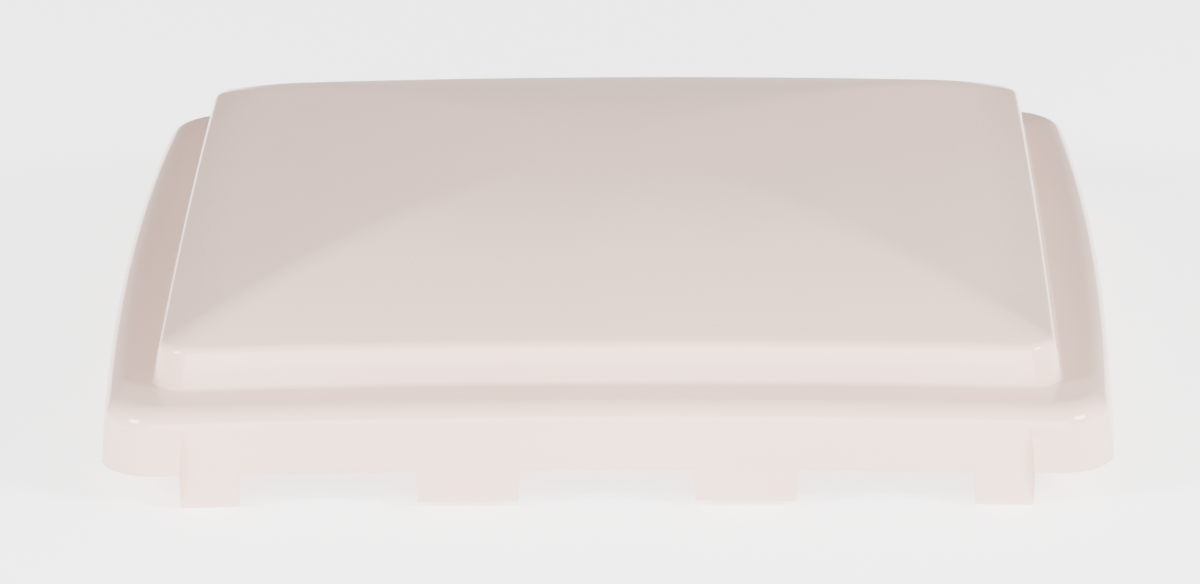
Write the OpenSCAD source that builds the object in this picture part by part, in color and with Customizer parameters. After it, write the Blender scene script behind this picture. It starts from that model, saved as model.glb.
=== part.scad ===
// Roof vent cover for a 14 in (356 mm) square roof vent.
// A one-piece moulded cover on a concealed rod hinge, with its lid seal and the track that the crank's lift arm
// slides in. The hinge side, with the four tabs, faces -Y. The cover is shown closed.

/* [Cover] */
// Overall width and depth over the skirt
cover_w = 412; // [400:1:430]
// Width of the raised centre, over its top edge
tier_w = 358; // [340:1:364]
// Wall thickness of the moulding
wall = 2.5; // [2:0.1:3]
// How far the three free sides bow outwards at mid-side
skirt_bow = 6; // [0:0.5:9]
// Rise of the moulding's edges at mid-side, above its corners
crown = 3.8; // [0:0.1:6]
// Corner radius of the skirt
skirt_r = 22; // [18:1:32]
// Corner radius of the raised centre
tier_r = 14; // [8:1:20]

/* [Heights] */
// Length of a tab below the edge beside it
tab_drop = 13; // [8:0.5:16]
// Height of the skirt, from its lower edge to the rim
skirt_h = 27; // [24:0.5:34]
// Height of the raised centre's wall above the rim
tier_h = 17; // [12:0.5:22]
// Rise of the roof-shaped top, from its edges to its middle
top_rise = 25; // [15:0.5:30]

/* [Hinge] */
// Diameter of the hinge rod
rod_d = 5; // [4:0.5:6]
// Distance from the cover's hinge face in to the rod
rod_inset = 11; // [10:0.5:12]
// Height of the rod above the tabs' lowest edge
rod_z = 22; // [21:0.5:24]

/* [Lift track] */
// Length of the lift track
track_l = 150; // [120:5:180]
// Width of the lift track
track_w = 26; // [24:1:30]
// Travel of the slide shoe each way from the middle
shoe_travel = 50; // [20:1:52]

/* [Hidden] */
$fn = 48;

cover_colour = [0.93, 0.89, 0.87];
rubber_colour = [0.13, 0.13, 0.14];
zinc_colour = [0.72, 0.73, 0.75];
steel_colour = [0.62, 0.63, 0.65];
nylon_colour = [0.90, 0.90, 0.86];

half = cover_w / 2;

// Tabs and the recessed panel that they hang from, along X from the middle
inner_tab = [34.6, 75.2];
outer_tab = [145.2, 168.7];
side_draft = 0.25;
panel_recess = 2;
gap_edge_drop = 1.5;

// Heights at the corners, where the crown adds nothing; the lowest tab edge is at Z = 0
tab_z = -crown * (1 - pow(outer_tab[1] / half, 2));
gap_z = tab_z + tab_drop;
skirt_z = gap_z + gap_edge_drop;
rim_z = skirt_z + skirt_h - 1;
tier_z = rim_z + tier_h;

shoulder_r = 8;
skirt_draft = 1.6;
tier_fillet = 3;
tier_draft = 2.3;
tier_bow = 0.5;
foot_fillet = 1.5;
top_power = 2.6;
top_slope = 20;

// Rib under the top that the seal is pushed onto
rib_half = 172.5;
rib_t = 2.5;
rib_r = 12;
rib_z = 50;

// One ring of the moulding: [half size, bow, corner radius, height, share of the crown, panel recess, low edge]
function ring(h, b, r, z, c = 1, p = 0, low = 0) = [h, b, r, z, c, p, low];

// Skirt and shoulder as an offset of d into the wall
function skirt_rings(d) = let (s = half - skirt_draft, c = s - shoulder_r, r = shoulder_r - d) [
    for (a = [4, 30, 52, 70, 86]) ring(c + r * sin(a), skirt_bow, skirt_r - shoulder_r + r * sin(a),
        rim_z - shoulder_r + r * cos(a), 1, a > 80 ? 0.25 : 0),
    ring(half - skirt_draft / 2 - d, skirt_bow, skirt_r - d, (skirt_z + rim_z - shoulder_r) / 2, 1, 0.6)];

// Wall and fillet of the raised centre, as an offset of d into the wall
function tier_rings(d) = let (s = tier_w / 2, c = s - tier_fillet, r = tier_fillet - d) [
    for (a = [top_slope, 42, 64, 86]) ring(c + r * sin(a), tier_bow, tier_r - tier_fillet + max(r, 0.4) * sin(a),
        tier_z - tier_fillet + r * cos(a))];

function foot_rings(d) = let (s = tier_w / 2 + tier_draft) [
    ring(s - d - 0.1, tier_bow, tier_r - d, rim_z + foot_fillet - d),
    ring(s - d + 0.4, tier_bow, tier_r - d, rim_z + 0.4 - d),
    ring(s - d + foot_fillet, tier_bow * 2, tier_r - d + 1, rim_z - d)];

// Height of the top at a share m of the way out from the middle
function top_z(m, d) = tier_z - tier_fillet + (tier_fillet - d) * cos(top_slope)
    + top_rise * (1 - pow(m, top_power)) - (d > 0 ? 0.1 : 0);
function top_half(d) = tier_w / 2 - tier_fillet + (tier_fillet - d) * sin(top_slope);
function top_ring(m, d) = ring(m * top_half(d), m * tier_bow, m * (tier_r - tier_fillet + 1), top_z(m, d));

top_shares = [0.12, 0.28, 0.44, 0.6, 0.74, 0.86, 0.95];
under_shares = [0.945, 0.86, 0.74, 0.6, 0.44, 0.28, 0.12];
function rib_share(h) = h / top_half(wall);

rings = concat(
    [for (m = top_shares) top_ring(m, 0)],
    tier_rings(0),
    foot_rings(0),
    skirt_rings(0),
    [ring(half, skirt_bow, skirt_r, skirt_z, 1, 1, 1),
        ring(half - wall, skirt_bow, skirt_r - wall, skirt_z, 1, 1, 1)],
    [for (i = [5:-1:0]) skirt_rings(wall)[i]],
    [for (i = [2:-1:0]) foot_rings(wall)[i]],
    [for (i = [3:-1:0]) tier_rings(wall)[i]],
    [ring(rib_half, 0, rib_r, top_z(rib_share(rib_half), wall)),
        ring(rib_half, 0, rib_r, rib_z, 0),
        ring(rib_half - rib_t, 0, rib_r - rib_t, rib_z, 0),
        ring(rib_half - rib_t, 0, rib_r - rib_t, top_z(rib_share(rib_half - rib_t), wall))],
    [for (m = under_shares) top_ring(m, wall)]);

// Places round the outline: [side, how far along it], or [side, angle in the corner after it]
tab_edges = [inner_tab[0], inner_tab[1], outer_tab[0], outer_tab[1]];
flat_half = half - skirt_bow - skirt_r;
hinge_side_x = concat(
    [for (i = [3:-1:0]) each [-tab_edges[i] - side_draft, -tab_edges[i] + side_draft, i == 3 ? -157 : i == 2 ? -110
        : i == 1 ? -55 : 0]],
    [for (i = [0:3]) each concat([tab_edges[i] - side_draft, tab_edges[i] + side_draft],
        i == 0 ? [55] : i == 1 ? [110] : i == 2 ? [157] : [])]);
side_steps = [-1, -0.68, -0.34, 0, 0.34, 0.68];
corner_steps = [0, 18, 36, 54, 72];
places = [for (k = [0:3]) each concat(
    k < 3 ? [for (t = side_steps) ["side", k, t]]
        : concat([["side", k, -1]], [for (x = hinge_side_x) ["side", k, x / flat_half]]),
    [for (a = corner_steps) ["corner", k, a]])];

function crown_at(x, y) = crown * (2 - pow(x / half, 2) - pow(y / half, 2));
function on_panel(s) = s[0] == "side" && s[1] == 3 && abs(s[2] * flat_half) < outer_tab[1];
function on_tab(s) = let (x = abs(s[2] * flat_half)) on_panel(s)
    && ((x > inner_tab[0] && x < inner_tab[1]) || x > outer_tab[0]);

// A rounded rectangle with three bowed sides; the hinge side stays straight
function outline(g, s) = let (
    hx = g[0] - g[1], hy = g[0] - g[1] / 2, mid = -g[1] / 2, r = g[2],
    odd = s[1] % 2, a = odd ? hy : hx, b = odd ? hx : hy,
    p = s[0] == "side" ? [a, s[2] * (b - r)] : [a - r + r * cos(s[2]), b - r + r * sin(s[2])],
    q = [cos(90 * s[1]) * p[0] - sin(90 * s[1]) * p[1], sin(90 * s[1]) * p[0] + cos(90 * s[1]) * p[1]],
    bow_x = g[1] / hx * (1 - pow(q[1] / hy, 2)), bow_y = q[1] > 0 ? g[1] / hy * (1 - pow(q[0] / hx, 2)) : 0)
    [q[0] * (1 + bow_x), mid + q[1] * (1 + bow_y)];

function shell_point(g, s) = let (
    p = outline(g, s), y = p[1] + (on_panel(s) ? g[5] * panel_recess : 0),
    z = g[6] == 0 || !on_panel(s) ? g[3] : on_tab(s) ? tab_z : gap_z)
    [p[0], y, z + g[4] * crown_at(p[0], y)];

module cover_moulding() {
    n = len(places);
    last = len(rings) - 1;
    top = [0, 0, top_z(0, 0) + 2 * crown];
    under = [0, 0, top_z(0, wall) + 2 * crown];
    points = concat([for (g = rings) each [for (s = places) shell_point(g, s)]], [top, under]);
    quads = [for (i = [0:last - 1]) each [for (j = [0:n - 1]) let (k = (j + 1) % n)
        each [[i * n + j, (i + 1) * n + k, (i + 1) * n + j], [i * n + j, i * n + k, (i + 1) * n + k]]]];
    caps = [for (j = [0:n - 1]) let (k = (j + 1) % n)
        each [[(last + 1) * n, k, j], [(last + 1) * n + 1, last * n + j, last * n + k]]];
    polyhedron(points, concat(quads, caps));
}

// Hinge knuckles on the inner face of the tabs
rod_y = rod_inset - half;
knuckle_r = 5;
knuckle_bore_r = rod_d / 2 + 0.05;
knuckle_gap = 1.6;

module along_x(x0, x1, r) translate([x0, rod_y, rod_z]) rotate([0, 90, 0]) cylinder(h = x1 - x0, r = r);

module knuckle(x0, x1) {
    along_x(x0, x1, knuckle_r);
    translate([x0, rod_y - rod_inset + panel_recess + 1, rod_z - 1.5])
        cube([x1 - x0, rod_inset - panel_recess - 1 - knuckle_r + 1, 3]);
}

// Bosses that the lift track is screwed to
boss_r = 4.5;
pilot_r = 1.6;
track_top = 76;
boss_y = track_l / 2 - 22;
boss_x = 7;
boss_places = [for (y = [-boss_y, boss_y], x = [-boss_x, boss_x]) [x, y]];
function under_z(x, y) = top_z(max(abs(x), abs(y)) / top_half(wall), wall) + crown_at(x, y);

module cover_shell() color(cover_colour) cover_moulding();

// Each knuckle is named from the left, seen from the hinge side
module hinge_knuckle(side, tab) color(cover_colour) mirror([side < 0 ? 1 : 0, 0, 0]) difference() {
    knuckle(tab[0] + knuckle_gap, tab[1] - knuckle_gap);
    along_x(tab[0], tab[1], knuckle_bore_r);
}
module hinge_knuckle_1() hinge_knuckle(-1, outer_tab);
module hinge_knuckle_2() hinge_knuckle(-1, inner_tab);
module hinge_knuckle_3() hinge_knuckle(1, inner_tab);
module hinge_knuckle_4() hinge_knuckle(1, outer_tab);

module track_bosses() color(cover_colour) for (p = boss_places) translate([p[0], p[1], track_top]) difference() {
    cylinder(h = under_z(p[0], p[1]) + 1.3 - track_top, r = boss_r);
    translate([0, 0, -1]) cylinder(h = 10, r = pilot_r);
}

// Lid seal: a trim gripping the rib, with a hollow bulb that closes on the vent's upstand
seal_t = 2;
bulb_r = 4;
seal_grip = 5;
rib_mid = rib_half - rib_t / 2;

module square_sweep(h, r) for (k = [0:3]) rotate(90 * k) {
    translate([h, h - r, 0]) rotate([90, 0, 0]) linear_extrude(2 * (h - r)) children();
    translate([h - r, h - r, 0]) rotate_extrude(angle = 90) translate([r, 0]) children();
}

module lid_seal() color(rubber_colour) square_sweep(rib_mid, rib_r - rib_t / 2) translate([0, rib_z]) difference() {
    union() {
        translate([-rib_t / 2 - seal_t, -seal_t]) square([rib_t + 2 * seal_t, seal_grip + seal_t]);
        translate([0, -seal_t - bulb_r + 1]) circle(bulb_r);
    }
    translate([-rib_t / 2, 0]) square([rib_t, seal_grip + 1]);
    translate([0, -seal_t - bulb_r + 1]) circle(bulb_r - 1.5);
}

// Hinge rod and its push-on caps
rod_half = outer_tab[1] + 3;
cap_r = 5;
cap_l = 5;

module hinge_rod() color(steel_colour) along_x(-rod_half, rod_half, rod_d / 2);

module rod_cap(side) color(zinc_colour) mirror([side < 0 ? 1 : 0, 0, 0]) difference() {
    union() {
        along_x(rod_half - cap_l + 2, rod_half + 2, cap_r - 1);
        along_x(rod_half - cap_l + 2, rod_half - cap_l + 3.2, cap_r);
    }
    along_x(rod_half - cap_l, rod_half, rod_d / 2);
}

module rod_cap_left() rod_cap(-1);
module rod_cap_right() rod_cap(1);

// Hinge brackets: an eye on the rod, a leaf inwards and a plate down the outside of the vent's upstand
leaf_t = 1.5;
leaf_l = 18.5;
plate_foot = 8;
eye_play = 0.8;
plate_hole_r = 2.25;
plate_y = rod_y + leaf_l - leaf_t;
hole_z = plate_foot + 6;

module hinge_bracket(eye, plate, holes) color(zinc_colour) difference() {
    union() {
        along_x(eye[0], eye[1], rod_d / 2 + leaf_t);
        translate([plate[0], rod_y, rod_z + rod_d / 2]) cube([plate[1] - plate[0], leaf_l, leaf_t]);
        translate([plate[0], plate_y, plate_foot]) cube([plate[1] - plate[0], leaf_t, rod_z - plate_foot + rod_d / 2]);
    }
    along_x(eye[0] - 1, eye[1] + 1, rod_d / 2);
    for (x = holes) translate([x, plate_y - 1, hole_z]) rotate([-90, 0, 0]) cylinder(h = 5, r = plate_hole_r);
}

eye_in = inner_tab[0] + knuckle_gap - eye_play;
side_eye = [inner_tab[1] - knuckle_gap + eye_play, outer_tab[0] + knuckle_gap - eye_play];
side_mid = (side_eye[0] + side_eye[1]) / 2;
side_plate = 33;
centre_plate = 33;
hole_spacing = 46;

module side_bracket() hinge_bracket(side_eye, [side_mid - side_plate, side_mid + side_plate],
    [side_mid - hole_spacing / 2, side_mid + hole_spacing / 2]);
module hinge_bracket_left() mirror([1, 0, 0]) side_bracket();
module hinge_bracket_right() side_bracket();
module hinge_bracket_centre() hinge_bracket([-eye_in, eye_in], [-centre_plate, centre_plate],
    [-hole_spacing / 2, hole_spacing / 2]);

// Lift track: a folded channel, open downwards, screwed to the bosses
track_t = 1.5;
track_h = 13;
slot_w = 11;
screw_r = 2.1;

module track_section() difference() {
    translate([-track_w / 2, -track_h]) square([track_w, track_h]);
    translate([-track_w / 2 + track_t, -track_h + track_t]) square([track_w - 2 * track_t, track_h - 2 * track_t]);
    translate([-slot_w / 2, -track_h - 1]) square([slot_w, track_t + 2]);
}

module lift_track() color(zinc_colour) difference() {
    translate([0, track_l / 2, track_top]) rotate([90, 0, 0]) linear_extrude(track_l) track_section();
    for (p = boss_places) translate([p[0], p[1], track_top - 2]) cylinder(h = 4, r = screw_r);
}

// Screws from inside the track up into the bosses
head_r = 3.6;
head_h = 1.2;

module track_screws() color(steel_colour) for (p = boss_places) translate([p[0], p[1], track_top - track_t]) {
    difference() {
        translate([0, 0, -head_h]) cylinder(h = head_h, r = head_r);
        for (a = [0, 90]) rotate(a) translate([-2, -0.4, -head_h - 1]) cube([4, 0.8, 1.7]);
    }
    cylinder(h = track_t + 7, r = pilot_r);
}

// End stops pushed into the ends of the track
stop_l = 8;

module track_stop() color(rubber_colour) {
    translate([-track_w / 2 + track_t, track_l / 2 - stop_l, track_top - track_h + track_t])
        cube([track_w - 2 * track_t, stop_l, track_h - 2 * track_t]);
    translate([-track_w / 2, track_l / 2, track_top - track_h]) cube([track_w, 1.5, track_h]);
}
module track_stop_far_side() track_stop();
module track_stop_hinge_side() mirror([0, 1, 0]) track_stop();

// Slide shoe: a block in the track with a neck down through the slot
shoe_play = 0.4;
shoe_l = 30;
shoe_w = track_w - 2 * track_t - 2 * shoe_play;
shoe_z = track_top - track_h + track_t + shoe_play;
shoe_h = track_h - 2 * track_t - head_h - 2 * shoe_play - 0.4;
neck_w = slot_w - 2 * shoe_play;
neck_l = 24;
neck_z = track_top - track_h - 0.8;
clevis_hole_y = 8;
clevis_pilot_r = 1.5;

module slide_shoe() color(nylon_colour) difference() {
    union() {
        translate([-shoe_w / 2, -shoe_l / 2, shoe_z]) cube([shoe_w, shoe_l, shoe_h]);
        translate([-neck_w / 2, -neck_l / 2, neck_z]) cube([neck_w, neck_l, shoe_z - neck_z + 1]);
    }
    for (y = [-clevis_hole_y, clevis_hole_y]) translate([0, y, neck_z - 1]) cylinder(h = 9, r = clevis_pilot_r);
}

// Lift clevis: a folded bracket under the shoe that the crank's lift arm is pinned to
clevis_t = 2;
clevis_w = 20;
clevis_l = 26;
ear_l = 16;
ear_h = 16;
pin_drop = 11;
pin_r = 3;

module lift_clevis() color(zinc_colour) difference() {
    union() {
        translate([-clevis_w / 2, -clevis_l / 2, neck_z - clevis_t]) cube([clevis_w, clevis_l, clevis_t]);
        for (x = [-clevis_w / 2, clevis_w / 2 - clevis_t]) {
            translate([x, -ear_l / 2, neck_z - pin_drop]) cube([clevis_t, ear_l, pin_drop]);
            translate([x, 0, neck_z - pin_drop]) rotate([0, 90, 0]) cylinder(h = clevis_t, r = ear_l / 2);
        }
    }
    translate([-clevis_w, 0, neck_z - pin_drop]) rotate([0, 90, 0]) cylinder(h = 2 * clevis_w, r = pin_r);
    for (y = [-clevis_hole_y, clevis_hole_y]) translate([0, y, neck_z - 3]) cylinder(h = 4, r = screw_r);
}

module clevis_screws() color(steel_colour) for (y = [-clevis_hole_y, clevis_hole_y])
    translate([0, y, neck_z - clevis_t]) {
        difference() {
            translate([0, 0, -2]) cylinder(h = 2, r = 3.2);
            for (a = [0, 90]) rotate(a) translate([-2, -0.4, -3]) cube([4, 0.8, 2]);
        }
        cylinder(h = clevis_t + 7, r = clevis_pilot_r);
    }

// Clevis pin that carries the eye of the lift arm between the ears, and the clip that keeps it
pin_head_r = 4.5;
pin_head_h = 1.5;
pin_over = 4;
clip_r = 5;
clip_t = 0.8;
clip_x = clevis_w / 2 + 0.4;

module across(x0, x1, r) translate([x0, 0, neck_z - pin_drop]) rotate([0, 90, 0]) cylinder(h = x1 - x0, r = r);

module lift_pin() color(steel_colour) {
    across(-clevis_w / 2 - pin_head_h, -clevis_w / 2, pin_head_r);
    across(-clevis_w / 2, clevis_w / 2 + pin_over, pin_r);
}

module pin_clip() color(zinc_colour) difference() {
    across(clip_x, clip_x + clip_t, clip_r);
    across(clip_x - 1, clip_x + clip_t + 1, pin_r);
    translate([clip_x - 1, -1.4, neck_z - pin_drop]) cube([clip_t + 2, 2.8, clip_r + 1]);
}

cover_shell();
hinge_knuckle_1();
hinge_knuckle_2();
hinge_knuckle_3();
hinge_knuckle_4();
track_bosses();
lid_seal();
hinge_rod();
rod_cap_left();
rod_cap_right();
hinge_bracket_left();
hinge_bracket_centre();
hinge_bracket_right();
lift_track();
track_screws();
track_stop_hinge_side();
track_stop_far_side();
slide_shoe();
lift_clevis();
clevis_screws();
lift_pin();
pin_clip();
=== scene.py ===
import math
import bpy
import bmesh
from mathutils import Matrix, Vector


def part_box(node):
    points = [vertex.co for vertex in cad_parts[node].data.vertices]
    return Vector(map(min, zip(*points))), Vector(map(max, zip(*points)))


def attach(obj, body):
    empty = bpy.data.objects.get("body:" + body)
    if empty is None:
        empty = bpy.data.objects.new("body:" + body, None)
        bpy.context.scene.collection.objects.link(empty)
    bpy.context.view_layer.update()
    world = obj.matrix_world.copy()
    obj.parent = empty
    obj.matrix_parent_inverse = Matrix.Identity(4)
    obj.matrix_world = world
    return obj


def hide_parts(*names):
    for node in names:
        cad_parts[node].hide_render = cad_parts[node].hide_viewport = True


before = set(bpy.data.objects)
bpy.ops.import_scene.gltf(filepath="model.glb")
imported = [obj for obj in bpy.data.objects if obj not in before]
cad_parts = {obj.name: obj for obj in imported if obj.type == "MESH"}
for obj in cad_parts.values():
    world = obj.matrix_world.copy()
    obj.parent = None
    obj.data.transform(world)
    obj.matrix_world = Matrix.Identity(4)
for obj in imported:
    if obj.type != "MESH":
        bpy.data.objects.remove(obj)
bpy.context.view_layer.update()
mm = 0.001


# small helpers

def link(obj):
    bpy.context.scene.collection.objects.link(obj)
    return obj


def meshObject(name, verts, faces):
    mesh = bpy.data.meshes.new(name)
    mesh.from_pydata(verts, [], faces)
    mesh.update()
    return link(bpy.data.objects.new(name, mesh))


def bake(obj):
    # the evaluated result becomes a plain mesh, with no modifiers left
    graph = bpy.context.evaluated_depsgraph_get()
    mesh = bpy.data.meshes.new_from_object(obj.evaluated_get(graph))
    obj.modifiers.clear()
    old, obj.data = obj.data, mesh
    mesh.name = obj.name
    if old.users == 0 and isinstance(old, bpy.types.Mesh):
        bpy.data.meshes.remove(old)
    return obj


def shade(obj, angle=32):
    # smooth faces, with the edges above the angle kept crisp
    mesh = obj.data
    bm = bmesh.new()
    bm.from_mesh(mesh)
    for face in bm.faces:
        face.smooth = True
    for edge in bm.edges:
        edge.smooth = len(edge.link_faces) == 2 and edge.calc_face_angle(0) < math.radians(angle)
    bm.to_mesh(mesh)
    bm.free()
    return obj


def outwards(obj):
    bm = bmesh.new()
    bm.from_mesh(obj.data)
    bmesh.ops.remove_doubles(bm, verts=bm.verts, dist=1e-6)
    bmesh.ops.delete(bm, geom=[edge for edge in bm.edges if not edge.link_faces], context="EDGES")
    bmesh.ops.recalc_face_normals(bm, faces=bm.faces)
    bm.to_mesh(obj.data)
    bm.free()
    return obj


def useOnly(obj, material):
    obj.data.materials.clear()
    obj.data.materials.append(material)


def finishPiece(obj, body, slot, *nodes):
    # an empty or open piece stops the script
    sides = bmesh.new()
    sides.from_mesh(obj.data)
    loose = sum(len(edge.link_faces) != 2 for edge in sides.edges)
    if not sides.faces or loose:
        raise ValueError(f"{obj.name}: {len(sides.faces)} faces, {loose} edges not closed")
    sides.free()
    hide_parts(*nodes)
    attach(obj, body)


# materials

class Shader:
    # a short way to lay out a material's nodes
    def __init__(self, name):
        self.material = bpy.data.materials.new(name)
        self.material.use_nodes = True
        self.tree = self.material.node_tree
        self.bsdf = self.tree.nodes["Principled BSDF"]
        self.coord = self.add("ShaderNodeTexCoord").outputs["Object"]

    def add(self, kind, **values):
        node = self.tree.nodes.new(kind)
        for key, value in values.items():
            setattr(node, key, value)
        return node

    def join(self, a, b):
        self.tree.links.new(a, b)

    def noise(self, scale, detail=3.0, rough=0.5, stretch=None):
        node = self.add("ShaderNodeTexNoise")
        node.inputs["Scale"].default_value = scale
        node.inputs["Detail"].default_value = detail
        node.inputs["Roughness"].default_value = rough
        source = self.coord
        if stretch:
            mapping = self.add("ShaderNodeMapping")
            mapping.inputs["Scale"].default_value = stretch
            self.join(source, mapping.inputs["Vector"])
            source = mapping.outputs["Vector"]
        self.join(source, node.inputs["Vector"])
        return node.outputs["Fac"]

    def ramp(self, fac, stops):
        node = self.add("ShaderNodeValToRGB")
        while len(node.color_ramp.elements) < len(stops):
            node.color_ramp.elements.new(0.5)
        for element, (place, colour) in zip(node.color_ramp.elements, stops):
            element.position = place
            element.color = (*colour, 1) if len(colour) == 3 else colour
        self.join(fac, node.inputs["Fac"])
        return node.outputs["Color"]

    def spread(self, fac, low, high, fromLow=0.3, fromHigh=0.7):
        node = self.add("ShaderNodeMapRange")
        for key, value in (("From Min", fromLow), ("From Max", fromHigh), ("To Min", low), ("To Max", high)):
            node.inputs[key].default_value = value
        self.join(fac, node.inputs["Value"])
        return node.outputs["Result"]

    def bump(self, height, strength, distance, below=None):
        node = self.add("ShaderNodeBump")
        node.inputs["Strength"].default_value = strength
        node.inputs["Distance"].default_value = distance
        self.join(height, node.inputs["Height"])
        if below:
            self.join(below, node.inputs["Normal"])
        return node.outputs["Normal"]

    def end(self, colour=None, roughness=None, normal=None):
        for source, socket in ((colour, "Base Color"), (roughness, "Roughness"), (normal, "Normal")):
            if source:
                self.join(source, self.bsdf.inputs[socket])
        return self.material


def mouldedPlastic():
    look = {"light": (0.77, 0.545, 0.46), "dark": (0.75, 0.52, 0.435), "speck": (0.56, 0.40, 0.34),
            "satin": 0.30}
    s = Shader("warmWhitePlastic")
    clouds = s.noise(9, 2)
    tone = s.ramp(clouds, [(0.35, look["dark"]), (0.65, look["light"])])
    dots = s.add("ShaderNodeTexVoronoi")  # a few dark specks moulded in
    dots.inputs["Scale"].default_value = 42
    s.join(s.coord, dots.inputs["Vector"])
    near = s.spread(dots.outputs["Distance"], 1, 0, 0.012, 0.02)
    rare = s.spread(s.noise(14, 1), 0, 1, 0.66, 0.68)
    both = s.add("ShaderNodeMath", operation="MULTIPLY")
    s.join(near, both.inputs[0])
    s.join(rare, both.inputs[1])
    mix = s.add("ShaderNodeMix", data_type="RGBA")
    s.join(both.outputs[0], mix.inputs["Factor"])
    s.join(tone, mix.inputs["A"])
    mix.inputs["B"].default_value = (*look["speck"], 1)
    # the skirt and tier are polished, the top is satin
    split = s.add("ShaderNodeSeparateXYZ")
    s.join(s.coord, split.inputs[0])
    satin = s.spread(split.outputs["Z"], 0, look["satin"], 0.060, 0.068)
    sheen = s.add("ShaderNodeMath", operation="ADD")
    s.join(s.spread(s.noise(30, 4), 0.10, 0.15), sheen.inputs[0])
    s.join(satin, sheen.inputs[1])
    rough = sheen.outputs[0]
    peel = s.bump(s.noise(420, 2), 0.05, 0.0002)
    flow = s.bump(s.noise(14, 2), 0.10, 0.0006, peel)
    s.bsdf.inputs["Specular IOR Level"].default_value = 0.42
    s.bsdf.inputs["Subsurface Weight"].default_value = 0.0
    return s.end(mix.outputs["Result"], rough, flow)


def sealRubber():
    s = Shader("sealRubber")
    tone = s.ramp(s.noise(60, 4), [(0.3, (0.016, 0.016, 0.017)), (0.7, (0.032, 0.032, 0.033))])
    rough = s.spread(s.noise(160, 3), 0.55, 0.8)
    return s.end(tone, rough, s.bump(s.noise(900, 3), 0.25, 0.0002))


def platedZinc():
    s = Shader("platedZinc")
    s.bsdf.inputs["Metallic"].default_value = 1.0
    cells = s.add("ShaderNodeTexVoronoi")
    cells.inputs["Scale"].default_value = 260
    s.join(s.coord, cells.inputs["Vector"])
    tone = s.ramp(cells.outputs["Color"], [(0.2, (0.56, 0.57, 0.58)), (0.8, (0.68, 0.69, 0.70))])
    rough = s.spread(s.noise(180, 4), 0.28, 0.46)
    return s.end(tone, rough, s.bump(s.noise(700, 3), 0.12, 0.0001))


def drawnSteel(name, along):
    s = Shader(name)
    s.bsdf.inputs["Metallic"].default_value = 1.0
    lines = s.noise(900, 3, 0.6, along)
    tone = s.ramp(lines, [(0.3, (0.50, 0.51, 0.52)), (0.7, (0.64, 0.65, 0.66))])
    rough = s.spread(lines, 0.24, 0.42)
    return s.end(tone, rough, s.bump(lines, 0.15, 0.0001))


def naturalNylon():
    s = Shader("naturalNylon")
    tone = s.ramp(s.noise(40, 3), [(0.3, (0.70, 0.69, 0.63)), (0.7, (0.78, 0.77, 0.71))])
    rough = s.spread(s.noise(120, 3), 0.42, 0.56)
    s.bsdf.inputs["Subsurface Weight"].default_value = 0.15
    s.bsdf.inputs["Subsurface Radius"].default_value = (0.002, 0.002, 0.0015)
    return s.end(tone, rough, s.bump(s.noise(600, 3), 0.12, 0.0002))


plastic = mouldedPlastic()
rubber = sealRubber()
zinc = platedZinc()
rodSteel = drawnSteel("rodSteel", (0.04, 1, 1))
screwSteel = drawnSteel("screwSteel", (1, 1, 1))
nylon = naturalNylon()
print("materials made")


# geometry node helpers

class NodeTree:
    # a geometry node tree with named inputs
    def __init__(self, name, inputs):
        self.tree = bpy.data.node_groups.new(name, "GeometryNodeTree")
        face = self.tree.interface
        face.new_socket("Geometry", in_out="INPUT", socket_type="NodeSocketGeometry")
        self.sockets = {}
        for label, kind, value in inputs:
            socket = face.new_socket(label, in_out="INPUT", socket_type=kind)
            if value is not None:
                socket.default_value = value
            self.sockets[label] = socket.identifier
        face.new_socket("Geometry", in_out="OUTPUT", socket_type="NodeSocketGeometry")
        self.source = self.add("NodeGroupInput")
        self.sink = self.add("NodeGroupOutput")

    def add(self, kind, **values):
        node = self.tree.nodes.new(kind)
        for key, value in values.items():
            setattr(node, key, value)
        return node

    def join(self, a, b):
        self.tree.links.new(a, b)

    def put(self, value, socket):
        if hasattr(value, "is_output"):
            self.join(value, socket)
        else:
            socket.default_value = value

    def calc(self, operation, *values):
        node = self.add("ShaderNodeMath", operation=operation)
        for value, socket in zip(values, node.inputs):
            self.put(value, socket)
        return node.outputs[0]

    def read(self, name):
        node = self.add("GeometryNodeInputNamedAttribute", data_type="FLOAT")
        node.inputs["Name"].default_value = name
        return node.outputs["Attribute"]

    def given(self, label):
        return self.source.outputs[label]

    def close(self, geometry):
        # every tree ends the same way
        real = self.add("GeometryNodeRealizeInstances")
        paint = self.add("GeometryNodeSetMaterial")
        self.join(geometry, real.inputs["Geometry"])
        self.join(real.outputs["Geometry"], paint.inputs["Geometry"])
        self.join(self.given("Material"), paint.inputs["Material"])
        self.join(paint.outputs["Geometry"], self.sink.inputs["Geometry"])

    def apply(self, obj, **values):
        modifier = obj.modifiers.new("form", "NODES")
        modifier.node_group = self.tree
        for label, value in values.items():
            modifier[self.sockets[label.replace("_", " ")]] = value
        bake(obj)
        bpy.data.node_groups.remove(self.tree)
        return obj


# the cover

cover = {
    "halfWidth": 206.0, "skirtBow": 6.0, "crown": 3.8, "skirtRadius": 22.0, "wall": 2.5,
    "tabDrop": 13.0, "tabTrim": 0.09, "gapStep": 1.5, "skirtHeight": 27.0, "tierHeight": 17.0,
    "topRise": 25.0, "topPower": 2.6, "topSlope": 20.0,
    "shoulderRadius": 8.0, "skirtDraft": 1.6,
    "tierHalf": 179.0, "tierRadius": 14.0, "tierFillet": 4.0, "tierDraft": 2.3, "tierBow": 0.5,
    "footFillet": 1.5,
    "innerTab": (34.6, 75.2), "outerTab": (145.2, 168.7), "panelRecess": 2.0,
    "notchFillet": 1.3, "tabCorner": 0.7,
    "ribHalf": 172.5, "ribThick": 2.5, "ribRadius": 12.0, "ribLow": 50.0,
    "sideSteps": 44, "cornerSteps": 14,
}


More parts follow.
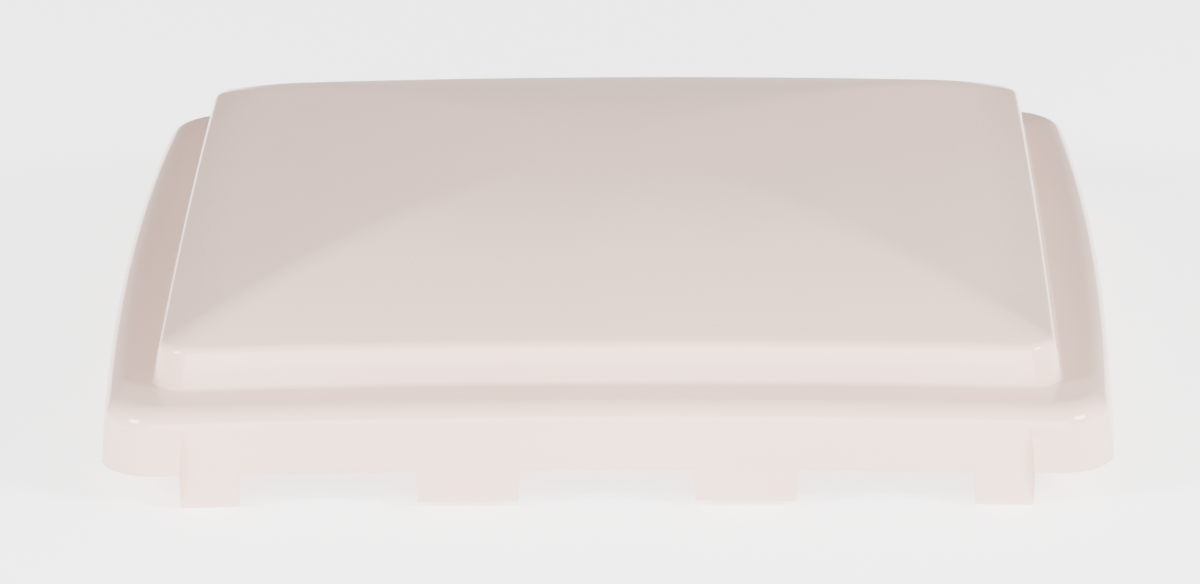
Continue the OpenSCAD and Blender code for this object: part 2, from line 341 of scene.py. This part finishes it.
def coverHeights(c):
    tab = -c["crown"] * (1 - (c["outerTab"][1] / c["halfWidth"]) ** 2)
    gap = tab + c["tabDrop"]
    skirt = gap + c["gapStep"]
    rim = skirt + c["skirtHeight"] - 1
    return tab + c["tabTrim"], gap, skirt, rim, rim + c["tierHeight"]


tabLow, gapLow, skirtLow, rimTop, tierTop = coverHeights(cover)


def ring(size, bow, radius, height, share=1.0, recess=0.0, low=0.0):
    return {"size": size, "bow": bow, "radius": radius, "z": height,
            "share": share, "recess": recess, "low": low}


def arc(first, last, steps):
    return [math.radians(first + (last - first) * k / steps) for k in range(steps + 1)]


def skirtRings(c, d):
    wide = c["halfWidth"] - c["skirtDraft"]
    centre = wide - c["shoulderRadius"]
    r = c["shoulderRadius"] - d
    rings = [ring(centre + r * math.sin(a), c["skirtBow"],
                  c["skirtRadius"] - c["shoulderRadius"] + r * math.sin(a),
                  rimTop - c["shoulderRadius"] + r * math.cos(a)) for a in arc(0, 90, 12)]
    top = rimTop - c["shoulderRadius"]
    for k in range(1, 10):
        t = k / 10  # the panel falls back from the flared corners on the way down
        rings.append(ring(wide - d + c["skirtDraft"] * t, c["skirtBow"], c["skirtRadius"] - d,
                          top + (skirtLow + 0.6 - top) * t, 1, min(1, 1.5 * t)))
    return rings


def tierRings(c, d):
    r = c["tierFillet"] - d
    return [ring(c["tierHalf"] - c["tierFillet"] + r * math.sin(a), c["tierBow"],
                 c["tierRadius"] - c["tierFillet"] + max(r, 0.4) * math.sin(a),
                 tierTop - c["tierFillet"] + r * math.cos(a)) for a in arc(c["topSlope"], 83, 8)]


def footRings(c, d):
    size = c["tierHalf"] + c["tierDraft"] - d
    r = c["footFillet"]
    wall = [ring(size - 0.1 - c["tierDraft"] * (1 - t) * 0.8, c["tierBow"], c["tierRadius"] - d,
                 rimTop + r - d + (c["tierHeight"] - r - c["tierFillet"]) * (1 - t))
            for t in (0.25, 0.5, 0.75)]
    bend = [ring(size + r - r * math.cos(a), c["tierBow"] * (1 + a / 1.57),
                 c["tierRadius"] - d + r * math.sin(a) * 0.7,
                 rimTop - d + r - r * math.sin(a)) for a in arc(0, 90, 5)]
    # the rim turns from the tier's straight outline to the skirt's bowed one
    end = skirtRings(c, d)[0]
    start = bend[-1]
    rim = [ring(*[start[k] + (end[k] - start[k]) * t for k in ("size", "bow", "radius", "z")])
           for t in (0.1, 0.25, 0.4, 0.55, 0.7, 0.85)]
    return wall + bend + rim


def topHeight(c, m, d):
    slope = math.cos(math.radians(c["topSlope"]))
    return tierTop - c["tierFillet"] + (c["tierFillet"] - d) * slope + c["topRise"] * (1 - m ** c["topPower"])


def topRing(c, m, d):
    half = c["tierHalf"] - c["tierFillet"] + (c["tierFillet"] - d) * math.sin(math.radians(c["topSlope"]))
    corner = c["tierRadius"] - c["tierFillet"] + 1 + 34 * (1 - m) ** 2
    return ring(m * half, m * c["tierBow"], m * corner, topHeight(c, m, d))


def coverRings(c):
    w = c["wall"]
    inner = c["ribHalf"] - c["ribThick"]
    half = c["tierHalf"] - c["tierFillet"]
    fold = [ring(c["halfWidth"], c["skirtBow"], c["skirtRadius"], skirtLow + 0.5, 1, d, k)
            for k, d in ((0.25, 1), (0.5, 1), (0.74, 1), (0.78, 0.95))]
    edge = [ring(c["halfWidth"] - 0.45 + 0.45 * math.cos(a), c["skirtBow"], c["skirtRadius"] - 0.4,
                 skirtLow + 0.45 - 0.45 * math.sin(a), 1, 0.95, 1) for a in arc(0, 90, 3)]
    lip = [ring(c["halfWidth"] - w + 0.45 - 0.45 * math.sin(a), c["skirtBow"], c["skirtRadius"] - w,
                skirtLow + 0.45 - 0.45 * math.cos(a), 1, 1, 1) for a in arc(0, 90, 3)]
    rib = [ring(c["ribHalf"], 0, c["ribRadius"], topHeight(c, c["ribHalf"] / half, w)),
           ring(c["ribHalf"], 0, c["ribRadius"], c["ribLow"] + 0.3, 0),
           ring(c["ribHalf"] - 0.3, 0, c["ribRadius"] - 0.3, c["ribLow"], 0),
           ring(inner + 0.3, 0, c["ribRadius"] - c["ribThick"] + 0.3, c["ribLow"], 0),
           ring(inner, 0, c["ribRadius"] - c["ribThick"], c["ribLow"] + 0.3, 0),
           ring(inner, 0, c["ribRadius"] - c["ribThick"], topHeight(c, inner / half, w))]
    outside = [topRing(c, (k / 34) ** 0.9, 0) for k in range(1, 34)]
    outside += tierRings(c, 0) + footRings(c, 0) + skirtRings(c, 0)
    inside = skirtRings(c, w)[::-1] + footRings(c, w)[::-1] + tierRings(c, w)[::-1]
    under = [topRing(c, 0.945 * k / 18, w) for k in range(18, 0, -1)]
    return outside + fold + edge + lip + inside + rib + under


def tabStations(c):
    # half of the hinge side, from the middle out, as (x, low edge height) with small radii at the tabs
    f, r = c["notchFillet"], c["tabCorner"]
    out = [(x, gapLow) for x in (0, 6, 12, 18, 24, 29)]
    edges = [c["innerTab"][0], c["innerTab"][1], c["outerTab"][0]]
    for i, x in enumerate(edges):
        into = 1 if i % 2 == 0 else -1  # 1 when the tab lies further out
        notch = [(x - into * (f - f * math.sin(a)), gapLow - f * (1 - math.cos(a))) for a in arc(0, 90, 4)]
        tip = [(x + into * (0.25 + r * (1 - math.cos(a))), tabLow + r * (1 - math.sin(a)))
               for a in arc(0, 90, 3)]
        out += (notch + tip) if into == 1 else (notch + tip)[::-1]
        if i < 2:
            low = tabLow if into == 1 else gapLow
            a, b = out[-1][0], edges[i + 1] - (f if into == -1 else 0.3 + r)
            steps = max(2, round((b - a) / 7))
            out += [(a + (b - a) * k / steps, low) for k in range(1, steps)]
    last = c["outerTab"][1]
    out += [(x, tabLow) for x in (151, 157, 163)]
    out += [(last - 0.2 - r * (1 - math.cos(a)), tabLow + r * (1 - math.sin(a))) for a in arc(90, 0, 3)]
    return out


def coverStations(c):
    # places round the outline: (side, share along it, corner angle or None, panel depth, low edge height)
    flat = c["halfWidth"] - c["skirtBow"] - c["skirtRadius"]
    half = tabStations(c)
    hinge = [(-x, z) for x, z in half[:0:-1]] + half
    hinge = [(x, 1.0, z) for x, z in hinge]
    hinge = [(-c["outerTab"][1], 0.0, skirtLow)] + hinge + [(c["outerTab"][1], 0.0, skirtLow)]
    places = []
    for side in range(4):
        if side < 3:
            n = c["sideSteps"]
            places += [(side, -1 + 2 * k / n, None, 0, skirtLow) for k in range(n)]
        else:
            places.append((side, -1, None, 0, skirtLow))
            places += [(side, x / flat, None, deep, z) for x, deep, z in hinge]
        places += [(side, 0, math.radians(90 * k / c["cornerSteps"]), 0, skirtLow)
                   for k in range(c["cornerSteps"])]
    return places


def coverBase(c):
    # the cover as a straight-sided sweep; its bow and crown come from the tree below
    rings, places = coverRings(c), coverStations(c)
    verts, size, bow, share = [], [], [], []
    flat = c["halfWidth"] - c["skirtBow"] - c["skirtRadius"]
    turn = [(1, 0), (0, 1), (-1, 0), (0, -1)]
    for g in rings:
        hx, hy, r = g["size"] - g["bow"], g["size"] - g["bow"] / 2, g["radius"]
        for side, t, angle, deep, low in places:
            a, b = (hy, hx) if side % 2 else (hx, hy)
            if angle is None:
                px, py = a, t * (b - r)
            else:
                px, py = a - r + r * math.cos(angle), b - r + r * math.sin(angle)
            if angle is None and side == 3 and t > -1:
                # on the hinge side every place keeps its own distance along the hinge
                py = t * flat * min(1, (b - r) / flat)
            cs, sn = turn[side]
            x, y = cs * px - sn * py, sn * px + cs * py
            z = g["z"] + (low - skirtLow) * g["low"]
            verts.append((x * mm, (y + deep * g["recess"] * c["panelRecess"]) * mm, z * mm))
            size.append(g["size"] * mm)
            bow.append(g["bow"] * mm)
            share.append(g["share"])
    n = len(places)
    faces = []
    for i in range(len(rings) - 1):
        for j in range(n):
            k = (j + 1) % n
            faces.append((i * n + j, (i + 1) * n + j, (i + 1) * n + k, i * n + k))
    ends = ((0, topHeight(c, 0, 0), True), (len(rings) - 1, topHeight(c, 0, c["wall"]), False))
    for rim, height, flip in ends:
        centre = len(verts)
        verts.append((0, 0, height * mm))
        size.append(0.01)
        bow.append(0.0)
        share.append(1.0)
        for j in range(n):
            a, b = rim * n + j, rim * n + (j + 1) % n
            faces.append((centre, a, b) if flip else (centre, b, a))
    obj = meshObject("coverShell", verts, faces)
    for label, values in (("ringSize", size), ("ringBow", bow), ("crownShare", share)):
        obj.data.attributes.new(label, "FLOAT", "POINT").data.foreach_set("value", values)
    return obj


def coverForm():
    # three sides bow outwards, the hinge side stays straight, and the whole sheet is crowned
    t = NodeTree("coverForm", [("Half Width", "NodeSocketFloat", 0.206), ("Crown", "NodeSocketFloat", 0.0043),
                               ("Material", "NodeSocketMaterial", None)])
    split = t.add("ShaderNodeSeparateXYZ")
    t.join(t.add("GeometryNodeInputPosition").outputs[0], split.inputs[0])
    x, y, z = split.outputs
    size, bow = t.read("ringSize"), t.read("ringBow")
    hx = t.calc("SUBTRACT", size, bow)
    hy = t.calc("SUBTRACT", size, t.calc("MULTIPLY", bow, 0.5))

    def bulge(across, reach, half):
        ratio = t.calc("DIVIDE", across, reach)
        falloff = t.calc("SUBTRACT", 1.0, t.calc("MULTIPLY", ratio, ratio))
        return t.calc("MULTIPLY", t.calc("DIVIDE", bow, half), falloff)

    far = t.calc("GREATER_THAN", y, 0.0)
    newX = t.calc("MULTIPLY_ADD", x, bulge(y, hy, hx), x)
    lift = t.calc("MULTIPLY", bulge(x, hx, hy), far)
    newY = t.calc("SUBTRACT", t.calc("MULTIPLY_ADD", y, lift, y), t.calc("MULTIPLY", bow, 0.5))
    u = t.calc("DIVIDE", newX, t.given("Half Width"))
    v = t.calc("DIVIDE", newY, t.given("Half Width"))
    dome = t.calc("SUBTRACT", t.calc("SUBTRACT", 2.0, t.calc("MULTIPLY", u, u)), t.calc("MULTIPLY", v, v))
    rise = t.calc("MULTIPLY", t.calc("MULTIPLY", dome, t.given("Crown")), t.read("crownShare"))
    place = t.add("ShaderNodeCombineXYZ")
    for value, socket in zip((newX, newY, t.calc("ADD", z, rise)), place.inputs):
        t.join(value, socket)
    move = t.add("GeometryNodeSetPosition")
    t.join(t.given("Geometry"), move.inputs["Geometry"])
    t.join(place.outputs[0], move.inputs["Position"])
    t.close(move.outputs["Geometry"])
    return t


def buildCover(c):
    shell = coverBase(c)
    coverForm().apply(shell, Half_Width=c["halfWidth"] * mm, Crown=c["crown"] * mm, Material=plastic)
    for label in ("ringSize", "ringBow", "crownShare"):
        shell.data.attributes.remove(shell.data.attributes[label])
    outwards(shell)  # rings that meet away from the tabs are merged
    shade(shell, 40)
    finishPiece(shell, "cover", "cover_plastic", "cover_shell")
    print("cover shell:", len(shell.data.polygons), "faces")
    return shell


buildCover(cover)


gate = {"radius": 2.6, "wire": 0.32, "from": 150, "to": 385, "sink": 0.28}


def buildGateMark(g):
    # the small ring that the moulding's feed point leaves in the middle of the top
    top = topHeight(cover, 0, 0) + 2 * cover["crown"] - g["sink"]
    verts, faces = [], []
    turns, around = 22, 8
    for i, a in enumerate(arc(g["from"], g["to"], turns)):
        taper = max(0.25, math.sin(math.pi * (0.1 + 0.8 * i / turns)))
        for k in range(around):
            b = 2 * math.pi * k / around
            r = g["radius"] + g["wire"] * 1.3 * taper * math.cos(b)
            z = top + g["wire"] * taper * math.sin(b)
            verts.append((r * math.cos(a) * mm, r * math.sin(a) * mm, z * mm))
    for i in range(turns):
        for k in range(around):
            n = (k + 1) % around
            faces.append((i * around + k, (i + 1) * around + k, (i + 1) * around + n, i * around + n))
    faces += [tuple(range(around)), tuple(range(turns * around, (turns + 1) * around))[::-1]]
    obj = meshObject("gateMark", verts, faces)
    outwards(obj)
    shade(obj, 60)
    useOnly(obj, plastic)
    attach(obj, "cover")


buildGateMark(gate)


# the lid seal

seal = {"half": 171.25, "radius": 10.75, "ribLow": 50.0, "grip": 5.0, "side": 2.0, "ribThick": 2.5,
        "bulb": 4.0, "cornerSteps": 14}


def sealProfile(s):
    # the trim's closed section as a curve: outline with rounded shoulders and a round bulb below
    inner, outer = s["ribThick"] / 2, s["ribThick"] / 2 + s["side"]
    top = s["grip"]
    points = [(-inner, 0), (-inner, top - 0.4), (-inner - 0.4, top), (-outer + 0.7, top), (-outer, top - 0.7)]
    points += [(-outer, 0)]
    low = -s["side"] - s["bulb"] + 1
    points += [(s["bulb"] * math.cos(a), low + s["bulb"] * math.sin(a)) for a in arc(150, 390, 20)]
    points += [(outer, 0), (outer, top - 0.7), (outer - 0.7, top)]
    points += [(inner + 0.4, top), (inner, top - 0.4), (inner, 0)]
    return points


def curveObject(name, points):
    data = bpy.data.curves.new(name, "CURVE")
    data.dimensions = "3D"
    spline = data.splines.new("POLY")
    spline.points.add(len(points) - 1)
    for target, (u, v) in zip(spline.points, points):
        target.co = (u * mm, -v * mm, 0, 1)  # the sweep turns its section over
    spline.use_cyclic_u = True
    return link(bpy.data.objects.new(name, data))


def sweepTree():
    # a closed section swept round a square with rounded corners
    t = NodeTree("squareSweep", [
        ("Width", "NodeSocketFloat", 0.3), ("Corner Radius", "NodeSocketFloat", 0.01),
        ("Corner Steps", "NodeSocketInt", 12), ("Height", "NodeSocketFloat", 0.0),
        ("Section", "NodeSocketObject", None), ("Material", "NodeSocketMaterial", None)])
    square = t.add("GeometryNodeCurvePrimitiveQuadrilateral")
    t.join(t.given("Width"), square.inputs["Width"])
    t.join(t.given("Width"), square.inputs["Height"])
    fillet = t.add("GeometryNodeFilletCurve", mode="POLY")
    t.join(square.outputs[0], fillet.inputs["Curve"])
    t.join(t.given("Corner Radius"), fillet.inputs["Radius"])
    t.join(t.given("Corner Steps"), fillet.inputs["Count"])
    section = t.add("GeometryNodeObjectInfo")
    t.join(t.given("Section"), section.inputs["Object"])
    sweep = t.add("GeometryNodeCurveToMesh")
    t.join(fillet.outputs[0], sweep.inputs["Curve"])
    t.join(section.outputs["Geometry"], sweep.inputs["Profile Curve"])
    move = t.add("GeometryNodeTransform")
    t.join(sweep.outputs[0], move.inputs["Geometry"])
    offset = t.add("ShaderNodeCombineXYZ")
    t.join(t.given("Height"), offset.inputs["Z"])
    t.join(offset.outputs[0], move.inputs["Translation"])
    t.close(move.outputs[0])
    return t


def buildSeal(s):
    section = curveObject("sealSection", sealProfile(s))
    obj = meshObject("lidSeal", [(0, 0, 0)], [])
    sweepTree().apply(obj, Width=2 * s["half"] * mm, Corner_Radius=s["radius"] * mm,
                      Corner_Steps=s["cornerSteps"], Height=s["ribLow"] * mm,
                      Section=section, Material=rubber)
    bpy.data.objects.remove(section)
    outwards(obj)
    shade(obj, 35)
    finishPiece(obj, "cover", "seal_rubber", "lid_seal")
    print("lid seal:", [round(v / mm, 1) for v in obj.dimensions])


buildSeal(seal)


# folded sheet: hinge brackets, lift track

def foldedPath(points, radius):
    # (point, normal) pairs along a bent strip's middle, with a round bend at each inner point
    path = []
    last = len(points) - 1
    for i, (x, y) in enumerate(points):
        if i in (0, last):
            one, other = points[max(i, 1) - 1], points[min(i + 1, last)]
            ax, ay = other[0] - one[0], other[1] - one[1]
            size = math.hypot(ax, ay)
            path.append(((x, y), (-ay / size, ax / size)))
            continue
        before = Vector((x - points[i - 1][0], y - points[i - 1][1])).normalized()
        after = Vector((points[i + 1][0] - x, points[i + 1][1] - y)).normalized()
        bend = math.atan2(before.x * after.y - before.y * after.x, before.dot(after))
        side = 1 if bend > 0 else -1
        start = Vector((x, y)) - before * radius * math.tan(abs(bend) / 2)
        centre = start + Vector((-before.y, before.x)) * radius * side
        for k in range(7):
            a = bend * k / 6
            n = Vector((-before.y, before.x))
            normal = Vector((n.x * math.cos(a) - n.y * math.sin(a), n.x * math.sin(a) + n.y * math.cos(a)))
            path.append((tuple(centre - normal * radius * side), tuple(normal)))
    return path


def stripLoop(path, thick):
    h = thick / 2
    left = [(p[0] + n[0] * h, p[1] + n[1] * h) for p, n in path]
    right = [(p[0] - n[0] * h, p[1] - n[1] * h) for p, n in path]
    return left + right[::-1]


def prism(loop, low, high, axis):
    # a closed section drawn out along X or Y
    n = len(loop)
    flat = [(w, u, v) for w in (low, high) for u, v in loop]
    verts = [(w * mm, u * mm, v * mm) if axis == "X" else (u * mm, w * mm, v * mm) for w, u, v in flat]
    faces = [(k, (k + 1) % n, n + (k + 1) % n, n + k) for k in range(n)]
    faces += [tuple(range(n))[::-1], tuple(range(n, 2 * n))]
    return verts, faces


def carve(obj, other, operation="DIFFERENCE"):
    # an exact boolean with another closed mesh, which is used up
    cut = obj.modifiers.new("carve", "BOOLEAN")
    cut.operation, cut.solver, cut.object = operation, "EXACT", other
    bake(obj)
    bpy.data.objects.remove(other)
    return obj


def drill(obj, holes, radius, length):
    # round holes through the piece, along Y
    for x, y, z in holes:
        bpy.ops.mesh.primitive_cylinder_add(vertices=40, radius=radius * mm, depth=length * mm,
                                            location=(x * mm, y * mm, z * mm), rotation=(math.pi / 2, 0, 0))
        carve(obj, bpy.context.object)
    return obj


def breakEdges(obj, width, segments=2, angle=40):
    bevel = obj.modifiers.new("edges", "BEVEL")
    bevel.width, bevel.segments = width * mm, segments
    bevel.limit_method, bevel.angle_limit = "ANGLE", math.radians(angle)
    return bake(obj)


bracket = {"rodY": -195.0, "rodZ": 22.0, "rodRadius": 2.5, "thick": 1.5, "leaf": 18.5, "bend": 2.0,
           "foot": 8.0, "holeRise": 6.0, "holeRadius": 2.25, "holeSpacing": 46.0, "plateHalf": 33.0}


def buildBracket(name, node, b, eye):
    low, high = eye
    middle = (low + high) / 2
    r = b["rodRadius"] + b["thick"] / 2
    roll = [((b["rodY"] + r * math.cos(a), b["rodZ"] + r * math.sin(a)), (math.cos(a), math.sin(a)))
            for a in arc(390, 90, 40)]
    plateY = b["rodY"] + b["leaf"] - b["thick"] / 2
    leafHeight = b["rodZ"] + r
    leaf = foldedPath([(b["rodY"] + 0.5, leafHeight), (plateY, leafHeight), (plateY, b["foot"])], b["bend"])
    eyeLoop, wholeLoop = stripLoop(roll, b["thick"]), stripLoop(roll + leaf, b["thick"])
    obj = outwards(meshObject(name, *prism(eyeLoop, low, high, "X")))
    plateEnds = middle - b["plateHalf"], middle + b["plateHalf"]
    plate = outwards(meshObject("plate", *prism(wholeLoop, *plateEnds, "X")))
    carve(obj, plate, "UNION")
    spots = [(middle + side * b["holeSpacing"] / 2, plateY, b["foot"] + b["holeRise"]) for side in (-1, 1)]
    drill(obj, spots, b["holeRadius"], 8)
    outwards(breakEdges(obj, 0.2))
    shade(obj, 35)
    useOnly(obj, zinc)
    finishPiece(obj, "hinge_base", "zinc_plate", node)


for place in ("left", "centre", "right"):
    node = "hinge_bracket_" + place
    near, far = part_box(node)
    buildBracket("hingeBracket" + place.capitalize(), node, bracket, (near[0] / mm, far[0] / mm))

track = {"width": 26.0, "height": 13.0, "thick": 1.5, "slot": 11.0, "top": 76.0, "length": 150.0, "bend": 1.6}


def buildTrack(t):
    w, half = t["width"] / 2, t["thick"] / 2
    low, high = t["top"] - t["height"] + half, t["top"] - half
    middle = [(-t["slot"] / 2, low), (-w + half, low), (-w + half, high),
              (w - half, high), (w - half, low), (t["slot"] / 2, low)]
    loop = stripLoop(foldedPath(middle, t["bend"]), t["thick"])
    obj = outwards(meshObject("liftTrack", *prism(loop, -t["length"] / 2, t["length"] / 2, "Y")))
    breakEdges(obj, 0.2)
    shade(obj, 35)
    useOnly(obj, zinc)
    finishPiece(obj, "cover", "zinc_plate", "lift_track")


buildTrack(track)
print("folded pieces made")


# screws

screws = {"head": 3.6, "headHigh": 1.2, "shank": 1.6, "shankLong": 8.5,
          "cross": 2.1, "slotWide": 0.75, "slotDeep": 0.7}
clevisScrews = dict(screws, head=3.2, headHigh=2.0, shank=1.5, shankLong=9.0, slotDeep=1.1)


def screwShape(s):
    r, h, n = s["head"], s["headHigh"], 32
    profile = [(0.001, -h), (0.5 * r, -h), (0.8 * r, -0.86 * h), (0.95 * r, -0.5 * h),
               (r, -0.12 * h), (0.98 * r, 0),
               (s["shank"], 0), (s["shank"], s["shankLong"] - 1.5), (0.001, s["shankLong"])]
    verts = [(a * math.cos(2 * math.pi * k / n) * mm, a * math.sin(2 * math.pi * k / n) * mm, z * mm)
             for a, z in profile for k in range(n)]
    faces = [(i * n + k, i * n + (k + 1) % n, (i + 1) * n + (k + 1) % n, (i + 1) * n + k)
             for i in range(len(profile) - 1) for k in range(n)]
    faces += [tuple(range(n))[::-1], tuple(range((len(profile) - 1) * n, len(profile) * n))]
    obj = outwards(meshObject("screwShape", verts, faces))
    for turn in (0, 1):
        reach, width = (s["cross"], s["slotWide"] / 2) if turn else (s["slotWide"] / 2, s["cross"])
        bpy.ops.mesh.primitive_cube_add(size=2, location=(0, 0, (-h - 1 + s["slotDeep"]) * mm),
                                        scale=(reach * mm, width * mm, 1 * mm))
        carve(obj, bpy.context.object)
    return shade(obj, 40)


def screwTree():
    # one screw on each point
    t = NodeTree("screwSet", [("Screw", "NodeSocketObject", None), ("Size", "NodeSocketFloat", 1.0),
                              ("Turn", "NodeSocketFloat", 0.35), ("Seed", "NodeSocketInt", 4),
                              ("Material", "NodeSocketMaterial", None)])
    shape = t.add("GeometryNodeObjectInfo")
    t.join(t.given("Screw"), shape.inputs["Object"])
    spread = t.add("GeometryNodeInstanceOnPoints")
    points = t.add("GeometryNodeMeshToPoints")
    t.join(t.given("Geometry"), points.inputs["Mesh"])
    t.join(points.outputs[0], spread.inputs["Points"])
    t.join(shape.outputs["Geometry"], spread.inputs["Instance"])
    t.join(t.given("Size"), spread.inputs["Scale"])
    chance = t.add("FunctionNodeRandomValue", data_type="FLOAT")
    t.join(t.given("Seed"), chance.inputs["Seed"])
    turn = t.add("ShaderNodeCombineXYZ")
    t.join(t.calc("MULTIPLY", chance.outputs[1], t.given("Turn")), turn.inputs["Z"])
    t.join(turn.outputs[0], spread.inputs["Rotation"])
    t.close(spread.outputs[0])
    return t


def buildScrews(name, node, body, shape, places, seed):
    screw = screwShape(shape)
    obj = meshObject(name, [tuple(v * mm for v in p) for p in places], [])
    screwTree().apply(obj, Screw=screw, Size=1.0, Turn=1.5, Seed=seed, Material=screwSteel)
    bpy.data.objects.remove(screw)
    shade(obj, 40)
    finishPiece(obj, body, "screw_steel", node)


trackScrewPlaces = [(x, y, track["top"] - track["thick"]) for y in (-53.0, 53.0) for x in (-7.0, 7.0)]
buildScrews("trackScrews", "track_screws", "cover", screws, trackScrewPlaces, 4)
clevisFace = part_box("clevis_screws")[0][2] / mm + clevisScrews["headHigh"]
clevisScrewPlaces = [(0.0, y, clevisFace) for y in (-8.0, 8.0)]
buildScrews("clevisScrews", "clevis_screws", "lift_shoe", clevisScrews, clevisScrewPlaces, 9)
print("screws set")


# pieces that keep their made shape, with their edges broken


def brokenEdges(node, name, body, width, material, slot, segments=2):
    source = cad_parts[node]
    mesh = source.data.copy()
    obj = link(bpy.data.objects.new(name, mesh))
    bm = bmesh.new()
    bm.from_mesh(mesh)
    bmesh.ops.remove_doubles(bm, verts=bm.verts, dist=2e-6)
    bmesh.ops.dissolve_limit(bm, angle_limit=math.radians(1.5), verts=bm.verts, edges=bm.edges)
    bm.to_mesh(mesh)
    bm.free()
    breakEdges(obj, width, segments)
    shade(obj, 35)
    useOnly(obj, material)
    finishPiece(obj, body, slot, node)
    return obj


madePieces = [
    ("hinge_rod", "hingeRod", "hinge_base", 0.5, rodSteel, "rod_steel"),
    ("rod_cap_left", "rodCapLeft", "hinge_base", 0.4, zinc, "zinc_plate"),
    ("rod_cap_right", "rodCapRight", "hinge_base", 0.4, zinc, "zinc_plate"),
    *((f"hinge_knuckle_{k}", f"hingeKnuckle{k}", "cover", 0.4, plastic, "cover_plastic")
      for k in (1, 2, 3, 4)),
    ("track_bosses", "trackBosses", "cover", 0.3, plastic, "cover_plastic"),
    ("track_stop_hinge_side", "trackStopHingeSide", "cover", 0.5, rubber, "seal_rubber"),
    ("track_stop_far_side", "trackStopFarSide", "cover", 0.5, rubber, "seal_rubber"),
    ("slide_shoe", "slideShoe", "lift_shoe", 0.5, nylon, "nylon"),
    ("lift_clevis", "liftClevis", "lift_shoe", 0.3, zinc, "zinc_plate"),
    ("lift_pin", "liftPin", "lift_shoe", 0.35, rodSteel, "rod_steel"),
    ("pin_clip", "pinClip", "lift_shoe", 0.12, zinc, "zinc_plate"),
]

for piece in madePieces:
    brokenEdges(*piece)
print("made pieces finished:", len(madePieces))


# floor, light and camera

studio = {
    "distance": 2.880, "elevation": 19.07, "turn": -0.81, "roll": -0.51,
    "lens": 203.9, "shift": (-0.0107, 0.0388),
    "floor": (0.97, 0.968, 0.965), "glow": 2.2, "world": 0.30,
}


def buildFloor(s):
    size = 6.0
    corners = [(-size, -size, 0), (size, -size, 0), (size, size, 0), (-size, size, 0)]
    floor = meshObject("studioFloor", corners, [(0, 1, 2, 3)])
    paint = Shader("paleFloor")
    tone = paint.ramp(paint.noise(1.5, 2), [(0.3, tuple(0.995 * v for v in s["floor"])), (0.7, s["floor"])])
    paint.bsdf.inputs["Roughness"].default_value = 0.9
    paint.bsdf.inputs["Emission Color"].default_value = (1, 1, 1, 1)
    paint.bsdf.inputs["Emission Strength"].default_value = s["glow"]
    useOnly(floor, paint.end(tone))


def softLight(name, place, aim, size, power, tint=(1, 1, 1)):
    data = bpy.data.lights.new(name, "AREA")
    data.shape = "RECTANGLE"
    data.size, data.size_y = size
    data.energy = power
    data.color = tint
    lamp = link(bpy.data.objects.new(name, data))
    lamp.location = place
    lamp.rotation_euler = (Vector(aim) - Vector(place)).to_track_quat("-Z", "Y").to_euler()


def buildCamera(s):
    e, yaw, roll = (math.radians(s[k]) for k in ("elevation", "turn", "roll"))
    back = Vector((math.sin(yaw) * -math.cos(e), math.cos(yaw) * -math.cos(e), math.sin(e)))
    right = Vector((math.cos(yaw), -math.sin(yaw), 0))
    up = back.cross(right)
    across = math.cos(roll) * right + math.sin(roll) * up
    above = -math.sin(roll) * right + math.cos(roll) * up
    data = bpy.data.cameras.new("camera")
    data.lens, data.sensor_width, data.sensor_fit = s["lens"], 36, "HORIZONTAL"
    data.shift_x, data.shift_y = s["shift"]
    data.clip_start, data.clip_end = 0.05, 50
    obj = link(bpy.data.objects.new("camera", data))
    turn = obj.matrix_world.to_3x3()
    for i, axis in enumerate((across, above, back)):
        turn.col[i] = axis
    obj.matrix_world = turn.to_4x4()
    obj.location = back * s["distance"]
    bpy.context.scene.camera = obj


buildFloor(studio)
buildCamera(studio)
softLight("frontSoft", (0.2, -3.2, 0.62), (0, 0, 0.03), (3.6, 1.2), 175)
softLight("topSoft", (0.5, 2.0, 2.0), (0, 0, 0), (2.8, 1.6), 12)
softLight("leftSoft", (-3.0, 0.5, 1.3), (0, 0, 0.03), (3.2, 2.0), 26)
softLight("rightSoft", (3.0, 0.5, 1.3), (0, 0, 0.03), (3.2, 2.0), 70)
softLight("leftBox", (-2.2, -1.3, 1.2), (0, 0, 0.03), (0.9, 0.7), 130)
softLight("rightBox", (2.2, -1.3, 1.2), (0, 0, 0.03), (0.9, 0.7), 150)
world = bpy.data.worlds.new("studioWorld")
bpy.context.scene.world = world
world.use_nodes = True
world.node_tree.nodes["Background"].inputs["Color"].default_value = (1, 0.985, 0.97, 1)
world.node_tree.nodes["Background"].inputs["Strength"].default_value = studio["world"]
print("studio set")
